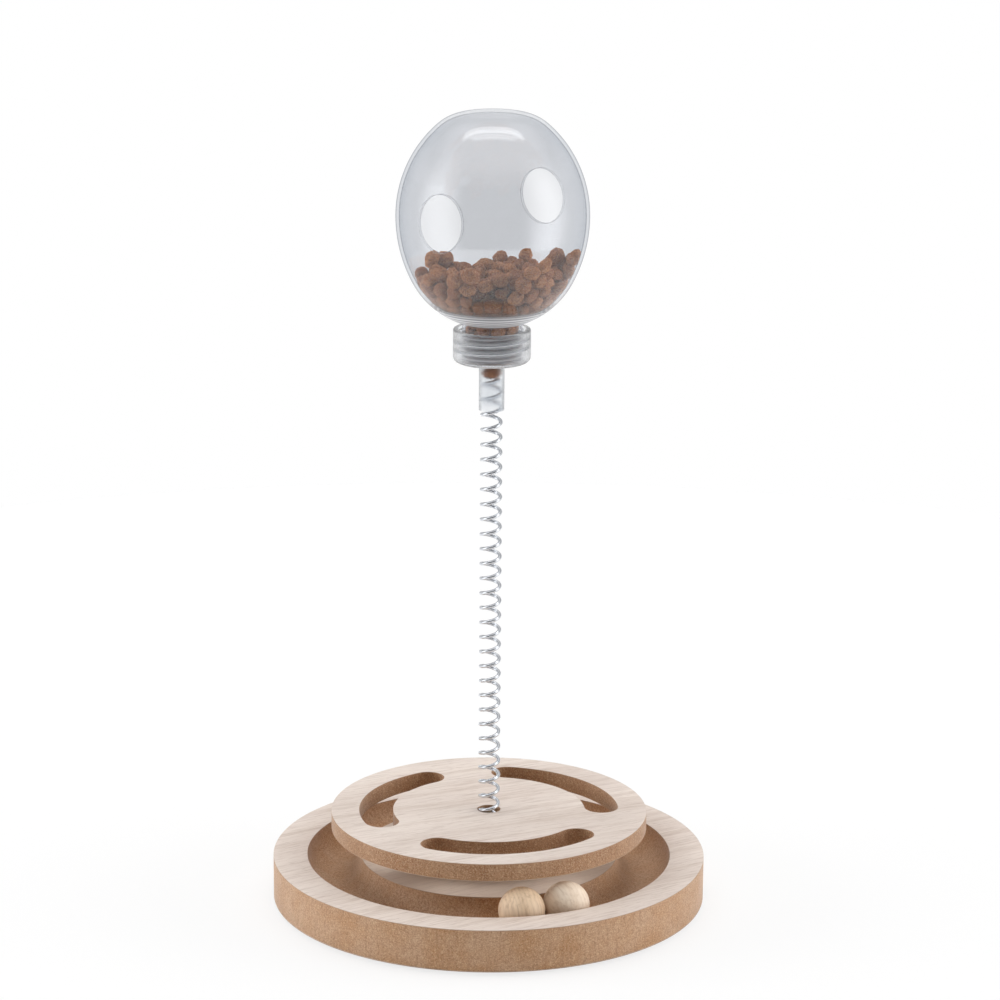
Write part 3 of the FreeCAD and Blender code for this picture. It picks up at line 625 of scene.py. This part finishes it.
def make_screws():
    """Three countersunk wood screws, their cross recess facing down."""
    steel = steel_finish("zinc_steel", (196, 198, 200), 0.3, 0.45)
    bunch = bmesh.new()
    screw = turned((0, SCREW_BOTTOM), [
        (SCREW_HEAD, SCREW_BOTTOM), (SCREW_SHANK, SCREW_BOTTOM + SCREW_HEAD - SCREW_SHANK),
        (SCREW_SHANK, SCREW_TOP - 2 * SCREW_SHANK), (0, SCREW_TOP)], parts=40)
    for turn in (0, math.pi / 2):
        slot = bmesh.new()
        bmesh.ops.create_cube(slot, size=1)
        bmesh.ops.scale(slot, verts=slot.verts, vec=(4.4, 0.9, 3.2))
        screw = cut(screw, move(slot, up=SCREW_BOTTOM, turn=turn))
    made = stored(screw, "screw")
    for turn in screw_places():
        before = len(bunch.verts)
        bunch.from_mesh(made)
        bunch.verts.ensure_lookup_table()
        move(bunch, SCREW_CIRCLE, verts=bunch.verts[before:])
        swing(bunch, turn, verts=bunch.verts[before:])
    bpy.data.meshes.remove(made)
    piece(bunch, "countersunk_screws", steel, "base", "zinc_steel", "hub_screws")


# The tray

def round_loop(bm, radius, level, parts):
    """Edges of a circle about the toy's axis."""
    made = bmesh.ops.create_circle(bm, segments=parts, radius=radius)
    bmesh.ops.translate(bm, verts=made["verts"], vec=(0, 0, level))
    return list({e for v in made["verts"] for e in v.link_edges})


def slot_loop(bm, grow, level, turn):
    """Edges of one arc slot's outline with full round ends, grown outwards by grow."""
    half = SLOT_HALF + grow
    reach_in = SLOT_MIDDLE - half

    def at(radius, angle):
        return Vector((radius * math.cos(angle), radius * math.sin(angle), level))

    low, high = turn - SLOT_SPAN / 2, turn + SLOT_SPAN / 2
    axis = (0, 0, level)
    first = tip = bm.verts.new(at(reach_in, low))
    for centre, angle, parts in (
            (axis, SLOT_SPAN, 40), (at(SLOT_MIDDLE, high), -math.pi, 20),
            (axis, -SLOT_SPAN, 48), (at(SLOT_MIDDLE, low), -math.pi, 20)):
        swung = bmesh.ops.spin(bm, geom=[tip], cent=centre, axis=(0, 0, 1), angle=angle,
                               steps=parts)
        tip = next(v for v in swung["geom_last"] if isinstance(v, bmesh.types.BMVert))
    reached = {first}
    to_visit = [first]
    while to_visit:
        v = to_visit.pop()
        for e in v.link_edges:
            other = e.other_vert(v)
            if other not in reached:
                reached.add(other)
                to_visit.append(other)
    bmesh.ops.remove_doubles(bm, verts=list(reached), dist=1e-3)
    alive = [v for v in reached if v.is_valid]
    return list({e for v in alive for e in v.link_edges})


def slotted_disc(bottom, top, ease_bottom=0, ease_top=0):
    """Disc with the spring's hole and the three slots; its corners are eased as asked."""
    bm = bmesh.new()
    stack = [(ease_bottom, bottom), (0, bottom + ease_bottom), (0, top - ease_top),
             (ease_top, top)]
    if ease_top:
        stack.insert(3, (ease_top * 0.29, top - ease_top * 0.29))
    if not ease_bottom:
        stack.pop(0)
    if not ease_top:
        stack.pop()
    makers = [lambda grow, level: round_loop(bm, TRAY_REACH - grow, level, 220),
              lambda grow, level: round_loop(bm, SPRING_HOLE + grow, level, 56)]
    for turn in SLOT_TURNS:
        makers.append(lambda grow, level, turn=turn: slot_loop(bm, grow, level, turn))
    ends = [[], []]
    for maker in makers:
        loops = [maker(grow, level) for grow, level in stack]
        ends[0] += loops[0]
        ends[1] += loops[-1]
        for below, above in zip(loops, loops[1:]):
            bmesh.ops.bridge_loops(bm, edges=below + above)
    for edges in ends:
        bmesh.ops.triangle_fill(bm, edges=edges, use_beauty=True, use_dissolve=False)
    bmesh.ops.recalc_face_normals(bm, faces=bm.faces)
    return bm


def make_tray():
    """Slotted tray: bare board between two veneers; the board has browner, darker colours than
    the base's as painted shade for its edge.
    """
    # Darker copy of the base's fibreboard colours: painted shade.
    fibre = fibreboard_finish("tray_fibreboard_painted_shade", (176, 136, 102), (164, 120, 83), (118, 76, 47))
    board = slotted_disc(*levels("tray_board"))
    piece(board, "tray_disc", fibre, "base", "fibreboard", "tray_board")
    above = slotted_disc(*levels("tray_top_veneer"), ease_top=0.22)
    piece(above, "tray_top_sheet", veneer_finish("tray_veneer", -24, (-0.02, 0.004, 0)), "base",
          "veneer", "tray_top_veneer")
    under = slotted_disc(*levels("tray_under_veneer"), ease_bottom=0.2)
    piece(under, "tray_under_sheet", veneer_finish("under_veneer", 15, (0.05, 0.02, 0)), "base",
          "veneer", "tray_under_veneer")


def make_balls():
    """Two turned wooden balls, each with its own grain."""
    for node, turn, tones in (
            ("ball_1", (0.25, 0.15, 0), ((238, 212, 182), (224, 196, 164), (174, 140, 108))),
            ("ball_2", (1.3, 0.5, 0.2), ((246, 229, 209), (236, 214, 190), (204, 176, 148)))):
        low, high = span(node)
        middle = (low + high) / 2
        ball = bmesh.new()
        bmesh.ops.create_icosphere(ball, subdivisions=6, radius=(high.z - low.z) / 2)
        bmesh.ops.translate(ball, verts=ball.verts, vec=middle)
        wood = turned_wood_finish(node + "_wood", middle, turn, *tones)
        piece(ball, node.replace("ball", "wooden_ball"), wood, node, "ball_wood", node,
              smooth_to=180)


# The coil spring

def make_spring():
    """One length of wire in two halves that meet on a smooth turn."""
    steel = steel_finish("spring_steel", (218, 221, 226), 0.08, 0.15)
    per_turn = 44
    steps = round(COIL_TURNS * per_turn)
    rise = (COIL_HIGH - COIL_LOW) / steps
    bend = FULL * COIL_TURNS / steps
    split = round((COIL_SPLIT - COIL_LOW) / rise)
    lean = math.atan2(rise * steps / COIL_TURNS, FULL * COIL)

    def along(turn):
        """The wire's direction where it has swung by turn."""
        return Vector((-math.sin(turn) * math.cos(lean), math.cos(turn) * math.cos(lean),
                       math.sin(lean)))

    def wire_end(first_step, backwards):
        """A round section of wire, square to the coil, as a closed cap."""
        bm = bmesh.new()
        bmesh.ops.create_circle(bm, cap_ends=True, segments=14, radius=WIRE / 2)
        swing(bm, -math.pi / 2, "X")
        swing(bm, lean, "X")
        bmesh.ops.translate(bm, verts=bm.verts, vec=(COIL, 0, COIL_LOW + rise * first_step))
        turn = COIL_PHASE + bend * first_step
        swing(bm, turn)
        way = along(turn)
        tip = bm.edges[:]
        if backwards:
            bmesh.ops.translate(bm, verts=bm.verts, vec=-way * WIRE)
            tip = push(bm, tip, way * WIRE)
        return bm, tip

    def push(bm, edges, way, turn=0.0):
        """Carries the open end on by one straight or turned step."""
        made = bmesh.ops.extrude_edge_only(bm, edges=edges)["geom"]
        verts = [g for g in made if isinstance(g, bmesh.types.BMVert)]
        if turn:
            swing(bm, turn, verts=verts)
        bmesh.ops.translate(bm, verts=verts, vec=way)
        inside = set(verts)
        return [g for g in made
                if isinstance(g, bmesh.types.BMEdge) and set(g.verts) <= inside]

    def close(bm, tip, name):
        bmesh.ops.holes_fill(bm, edges=tip, sides=0)
        bmesh.ops.recalc_face_normals(bm, faces=bm.faces)
        obj = piece(bm, name, steel, None, "spring_steel", "coil_spring", smooth_to=60)
        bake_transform(obj)

    def wind(bm, tip, parts):
        """Carries the open end on along the coil."""
        made = bmesh.ops.spin(bm, geom=tip, cent=(0, 0, 0), axis=(0, 0, 1), dvec=(0, 0, rise),
                              angle=bend * parts, steps=parts)["geom_last"]
        return [g for g in made if isinstance(g, bmesh.types.BMEdge)]

    bm, tip = wire_end(0, True)
    close(bm, wind(bm, tip, split), "spring_lower_half")
    bm, tip = wire_end(split, False)
    tucked = per_turn // 2
    tip = wind(bm, tip, steps - tucked - split)
    drawn = 0.0
    for step in range(tucked):
        tuck = COIL_TUCK * ((step + 1) / tucked) ** 2
        turn = COIL_PHASE + bend * (steps - tucked + step + 1)
        inward = -Vector((math.cos(turn), math.sin(turn), 0)) * (tuck - drawn)
        drawn = tuck
        tip = push(bm, tip, inward + Vector((0, 0, rise)), bend)
    tip = push(bm, tip, along(COIL_PHASE + bend * steps) * WIRE)
    close(bm, tip, "spring_upper_half")


# Cap and globe

def thread_ridge(radius, way, low, high, turn=0.0):
    """Screw thread: a small flat-topped ridge wound on a wall. It stands outwards where way
    is 1 and inwards where way is -1."""
    bm = bmesh.new()
    foot = radius - way * 0.12
    crest = radius + way * THREAD_DEPTH * 0.8
    half, half_crest = 0.85, 0.3
    outline(bm, (foot, -half), [(radius, -half), (crest, -half_crest), (crest, half_crest),
                                (radius, half), (foot, half)], closed=True)
    bmesh.ops.contextual_create(bm, geom=bm.edges)
    move(bm, up=low, turn=turn)
    per_turn = 96
    steps = round((high - low) / THREAD_PITCH * per_turn)
    tip = bm.faces[:]
    bmesh.ops.spin(bm, geom=tip, cent=(0, 0, 0), axis=(0, 0, 1),
                   dvec=(0, 0, THREAD_PITCH / per_turn), angle=FULL / per_turn * steps,
                   steps=steps)
    bmesh.ops.recalc_face_normals(bm, faces=bm.faces)
    return bm


def make_cap():
    """Screw cap and spring tube in one frosted moulding, threaded inside."""
    corner, rim = 3.0, 1.0
    cap = turned((TUBE_BORE, TUBE_BOTTOM), [
        (TUBE_REACH, TUBE_BOTTOM), (TUBE_REACH, CAP_BOTTOM),
        (CAP_REACH - corner, CAP_BOTTOM), (CAP_REACH - corner, CAP_BOTTOM + corner, -90, 8),
        (CAP_REACH, CAP_TOP - rim), (CAP_REACH - rim, CAP_TOP - rim, -90, 6),
        (CAP_INNER, CAP_TOP), (CAP_INNER, CAP_BOTTOM + CAP_FLOOR),
        (TUBE_BORE, CAP_BOTTOM + CAP_FLOOR)], closed=True, parts=144)
    cap = joined(cap, thread_ridge(CAP_INNER, -1, CAP_BOTTOM + 4.5, CAP_TOP - 2.4))
    piece(cap, "screw_cap_and_tube", cap_finish(), "head", "clear_plastic", "screw_cap")


def globe_side(inset):
    """Legs down the globe's side from its flat top to its neck, set in by inset."""
    upper, shoulder, lower, belly = 65.4, 24.7, 76.6, 46.1
    shoulder_turn = math.acos((GLOBE_FLAT - GLOBE_REACH + upper) / (upper - shoulder))
    belly_turn = math.asin(BELLY_DROP / (lower - belly))
    belly_across = GLOBE_REACH - lower + (lower - belly) * math.cos(belly_turn)
    neck_turn = math.acos((NECK - inset - belly_across) / (belly - inset))
    shoulder_up = WIDEST + (upper - shoulder) * math.sin(shoulder_turn)
    return [(GLOBE_FLAT, shoulder_up, 90 - math.degrees(shoulder_turn), 14),
            (GLOBE_REACH - upper, WIDEST, math.degrees(shoulder_turn), 22),
            (GLOBE_REACH - lower, WIDEST, math.degrees(belly_turn), 14),
            (belly_across, WIDEST - BELLY_DROP, math.degrees(neck_turn - belly_turn), 24)]


def make_globe():
    """Clear globe: a blown shell with its threaded neck and two plain oval holes."""
    down = globe_side(0)
    up = [(a, u, -d, n) for a, u, d, n in reversed(globe_side(WALL))]
    shell = turned((0, GLOBE_TOP), [
        (GLOBE_FLAT, GLOBE_TOP), *down, (NECK, GLOBE_BOTTOM), (NECK - WALL, GLOBE_BOTTOM),
        (NECK - WALL, WIDEST - BELLY_DROP - NECK_DROP), *up, (0, GLOBE_TOP - WALL)], parts=200)
    hole = bmesh.new()
    bmesh.ops.create_cone(hole, cap_ends=True, segments=96, radius1=1, radius2=1, depth=140)
    bmesh.ops.scale(hole, verts=hole.verts, vec=(HOLE_WIDE, HOLE_TALL, 1))
    swing(hole, math.pi / 2, "X")
    move(hole, up=HOLE_LEVEL, turn=HOLE_TURN)
    shell = ease_edges(cut(shell, hole), 0.25, from_angle=50)
    shell = joined(shell, thread_ridge(NECK, 1, GLOBE_BOTTOM + 3.5, GLOBE_BOTTOM + 16.0, math.pi))
    piece(shell, "globe_shell", clear_finish(), "globe", "clear_plastic", "treat_globe",
          smooth_to=30)


# Kibble

def globe_inside():
    """Points down the inner wall from the shoulder to the neck's end, as (across, up)."""
    bm = bmesh.new()
    outline(bm, (GLOBE_FLAT, GLOBE_TOP - WALL),
            [*globe_side(WALL), (NECK - WALL, GLOBE_BOTTOM)])
    bm.verts.ensure_lookup_table()
    points = np.array([(v.co.x, v.co.z) for v in bm.verts])
    bm.free()
    return points


def held_inside(at, keep_off, wall):
    """Pushes points that come nearer to the globe's wall than keep_off back inside."""
    within, neck_top = (0, 350), 330
    start, run = wall[:-1], np.diff(wall, axis=0)
    inwards = np.stack([run[:, 1], -run[:, 0]], 1)
    inwards /= np.linalg.norm(inwards, axis=1)[:, None]
    inwards *= np.where(((start + run / 2 - within) * inwards).sum(1) > 0, -1, 1)[:, None]
    inwards[start[:, 1] < neck_top] = (-1, 0)
    across = np.hypot(at[:, 0], at[:, 1]) + 1e-9
    here = np.stack([across, at[:, 2]], 1)
    share = np.clip(((here[:, None] - start) * run).sum(2) / (run ** 2).sum(1), 0, 1)
    near = start + share[:, :, None] * run
    far = np.sqrt(((here[:, None] - near) ** 2).sum(2))
    rows, pick = np.arange(len(at)), far.argmin(1)
    offset, nearest = here - near[rows, pick], far[rows, pick]
    inside = (offset * inwards[pick]).sum(1) > 0
    depth = np.where(inside, nearest, -nearest)
    way = np.where(inside[:, None], offset / np.maximum(nearest, 1e-6)[:, None], inwards[pick])
    here = here + way * np.clip(keep_off - depth, 0, None)[:, None]
    return np.stack([at[:, 0] * here[:, 0] / across, at[:, 1] * here[:, 0] / across,
                     np.maximum(here[:, 1], GLOBE_BOTTOM + keep_off)], 1)


def settle(count, low_size, high_size, steps):
    """Lets round treats sink in the globe and push apart, in ever smaller steps."""
    draw = np.random.default_rng(5)
    wall = globe_inside()
    size = draw.uniform(low_size, high_size, count)
    lean = math.radians(5)
    fall = np.array([math.sin(lean) * math.cos(HEAP_TURN), math.sin(lean) * math.sin(HEAP_TURN),
                     -math.cos(lean)])
    turn = draw.uniform(0, FULL, count)
    away = 38 * np.sqrt(draw.uniform(0, 1, count))
    at = np.stack([away * np.cos(turn), away * np.sin(turn), draw.uniform(335, 395, count)], 1)
    itself = np.eye(count) * 99
    reach_two = size[:, None] + size
    for step in range(steps):
        at += fall * (1.05 - step / steps)
        for _ in range(5):
            apart = at[:, None] - at
            gap = np.sqrt((apart ** 2).sum(2)) + itself
            over = np.clip(reach_two * 1.02 - gap, 0, None)
            push = (apart / gap[:, :, None] * over[:, :, None] * 0.5).sum(1)
            at += push / np.sqrt(np.maximum(1, (over > 0).sum(1)))[:, None]
            at = held_inside(at, size * 0.75, wall)
    return at, size


def heap_top(at):
    """Level of the heap's surface: a leaning dish with three mounds at the wall."""
    x, y = at[:, 0], at[:, 1]
    top = (HEAP_LEVEL + HEAP_DISH * (x * x + y * y) / 46 ** 2
           + (x * math.cos(HEAP_TURN) + y * math.sin(HEAP_TURN)) * math.tan(HEAP_SLOPE))
    for across, back, rise, wide in MOUNDS:
        top += rise * np.exp(-((x - across) ** 2 + (y - back) ** 2) / wide ** 2)
    return top


def borne(at, size):
    """Whether each treat rests on two others at least, or lies deep in the heap."""
    gap = np.sqrt(((at[:, None] - at) ** 2).sum(2))
    touching = gap < (size[:, None] + size) * 1.03
    lower = at[:, 2] < at[:, None, 2] - size[:, None] * 0.3
    return ((touching & lower).sum(1) >= 2) | (at[:, 2] < HEAP_LEVEL - 10)


def nugget(heap, middle, radius, seed, tone, stretch=(1, 1, 1)):
    """Adds one lump of baked kibble to the heap: a squashed ball with dents of its own."""
    draw = np.random.default_rng(seed)
    lump = bmesh.new()
    tones = lump.verts.layers.float.new("tone")
    bmesh.ops.create_icosphere(lump, subdivisions=2, radius=1.0)
    squash = draw.uniform((1.02, 0.86, 0.74), (1.24, 1.0, 0.9))
    shift = Vector(draw.uniform(-50, 50, 3))
    turn = Matrix.Rotation(draw.uniform(0, FULL), 3, Vector(draw.normal(size=3)).normalized())
    for v in lump.verts:
        way = v.co.copy()
        swell = 1 + 0.20 * noise.noise(way * 1.1 + shift) + 0.14 * noise.noise(way * 2.6 + shift)
        v.co = turn @ Vector(way * swell * Vector(squash))
        v[tones] = tone
    bmesh.ops.scale(lump, verts=lump.verts, vec=Vector(stretch) * radius)
    bmesh.ops.translate(lump, verts=lump.verts, vec=middle)
    return joined(heap, lump)


def kibble_heap():
    """An empty mesh whose points carry a tone."""
    bm = bmesh.new()
    bm.verts.layers.float.new("tone")
    return bm


def make_kibble():
    """The heap of loose kibble in the globe, and the piece that fell into the tube. A point of
    the heap gets more painted shade the nearer it lies to the middle of a neighbour."""
    finish = kibble_finish()
    places, sizes = settle(TREATS, TREAT_SMALL, TREAT_LARGE, SETTLING)
    lying = places[:, 2] + sizes < heap_top(places)
    for _ in range(4):
        places, sizes = places[lying], sizes[lying]
        lying = borne(places, sizes)
    heap = kibble_heap()
    draw = np.random.default_rng(11)
    for number, (middle, size) in enumerate(zip(places[lying], sizes[lying])):
        nugget(heap, middle, size * 1.07, 100 + number, draw.uniform(0, 1))
    corners = np.array([v.co for v in heap.verts])
    gaps = np.linalg.norm(corners[:, None] - places[lying], axis=2) / sizes[lying]
    gaps.sort(axis=1)
    # Each point gets painted shade by how near it lies to the middle of a neighbouring piece.
    painted_shade = heap.verts.layers.float.new("painted_shade")
    for v, corner, gap in zip(heap.verts, held_inside(corners, 0.2, globe_inside()), gaps[:, 1]):
        v.co = corner
        v[painted_shade] = np.clip((1.3 - gap) / 0.3, 0, 1)
    piece(heap, "kibble_pieces", finish, "treats", "kibble", "kibble_heap", smooth_to=180)
    low, high = span("kibble_in_tube")
    fallen = nugget(kibble_heap(), (low + high) / 2, (high.z - low.z) / 2 * 0.92, 7, 0.3,
                    (1.25, 1.25, 1))
    piece(fallen, "kibble_in_the_tube", finish, "head", "kibble", "kibble_in_tube",
          smooth_to=180)


# Studio

def make_floor():
    """Round pale floor that keeps the toy's shadow."""
    f = Finish("floor")
    plain = f.shell(Base_Color=(0.94, 0.94, 0.94), Roughness=0.8, Specular_IOR_Level=0.0)
    glow = f.node("ShaderNodeEmission", {}, {"Color": (1, 1, 1), "Strength": 1.0})
    disc = bmesh.new()
    bmesh.ops.create_circle(disc, cap_ends=True, segments=96, radius=900)
    floor = bpy.data.objects.new("floor", as_mesh(disc, "floor"))
    bpy.context.scene.collection.objects.link(floor)
    floor.data.materials.append(f.done(f.layered(f.seen_plain() * 0.75, plain, glow)))


def make_light():
    """White room, lit by tall soft lamps at both sides, one behind and a row of two above,
    all far off."""
    world = bpy.context.scene.world = bpy.data.worlds.new("studio")
    w = Finish("studio", world)
    way = w.node("ShaderNodeTexCoord", {}, {}, "Generated")
    across, back, up = (w.axis(way, letter) for letter in "XYZ")
    gloss = w.node("ShaderNodeLightPath", {}, {}, "Is Glossy Ray")
    turn = w.maths("ARCTAN2", abs(across), back * -1.0)
    bearing = turn + gloss * math.radians(16)
    side = (w.between(bearing, math.radians(50), math.radians(88))
            * w.between(bearing, math.radians(92), math.radians(130), 1.0, 0.0)
            * w.between(up * (1.5 - gloss * 0.5), 0.35, 0.9, 1.0, 0.0))
    rise = w.maths("MAXIMUM", up, 0.05)
    aside, deep = across / rise, back / rise
    bow = aside * aside
    over = w.between(up, 0.3, 0.5) * (
        w.between(abs(aside), 0.58, 0.74, 1.0, 0.0)
        * w.between(deep - bow * 0.15, 0.01, 0.06)
        * w.between(deep + bow * 0.85, 0.40, 0.48, 1.0, 0.0)
        + w.between(abs(aside), 0.34, 0.50, 0.8, 0.0)
        * w.between(deep - bow * 0.45, -0.14, -0.10)
        * w.between(deep - bow * 0.45, -0.06, -0.03, 1.0, 0.0))
    behind = (w.between(turn + gloss * math.radians(28), math.radians(112), math.radians(150))
              * w.between(up, 0.25, 0.6, 1.0, 0.2))
    sky = w.between(up, 0.45, 0.9)
    level = (side * (gloss * (SIDE_GLEAM - SIDE_LIGHT) + SIDE_LIGHT)
             + over * (gloss * (OVER_GLEAM - OVER_LIGHT) + OVER_LIGHT)
             + behind * (gloss * (BACK_GLEAM - BACK_LIGHT) + BACK_LIGHT)
             + gloss * (DIM_GLEAM - DIM_LIGHT) + sky * SKY_LIGHT + DIM_LIGHT)
    soft = w.node("ShaderNodeBackground", {}, {"Color": (1, 1, 1), "Strength": level})
    plain = w.node("ShaderNodeBackground", {}, {"Color": (1, 1, 1), "Strength": 1.0})
    w.done(w.layered(w.seen_plain(), soft, plain))


def make_camera():
    """The photograph's view."""
    data = bpy.data.cameras.new("camera")
    data.sensor_width = 36
    data.lens = 136.8
    data.clip_start, data.clip_end = 0.05, 60
    camera = bpy.data.objects.new("camera", data)
    camera.matrix_world = (Matrix.Translation((-0.0013, -1.9988, 0.76985))
                           @ Matrix.Rotation(-0.00312, 4, "Z")
                           @ Matrix.Rotation(math.pi / 2 - 0.26422, 4, "X")
                           @ Matrix.Rotation(0.00718, 4, "Z"))
    bpy.context.scene.collection.objects.link(camera)
    bpy.context.scene.camera = camera


bpy.context.scene.view_settings.view_transform = "Standard"
make_floor()
make_light()
make_camera()
make_base()
make_feet()
make_hub()
make_screws()
make_tray()
make_balls()
make_spring()
make_cap()
make_globe()
make_kibble()
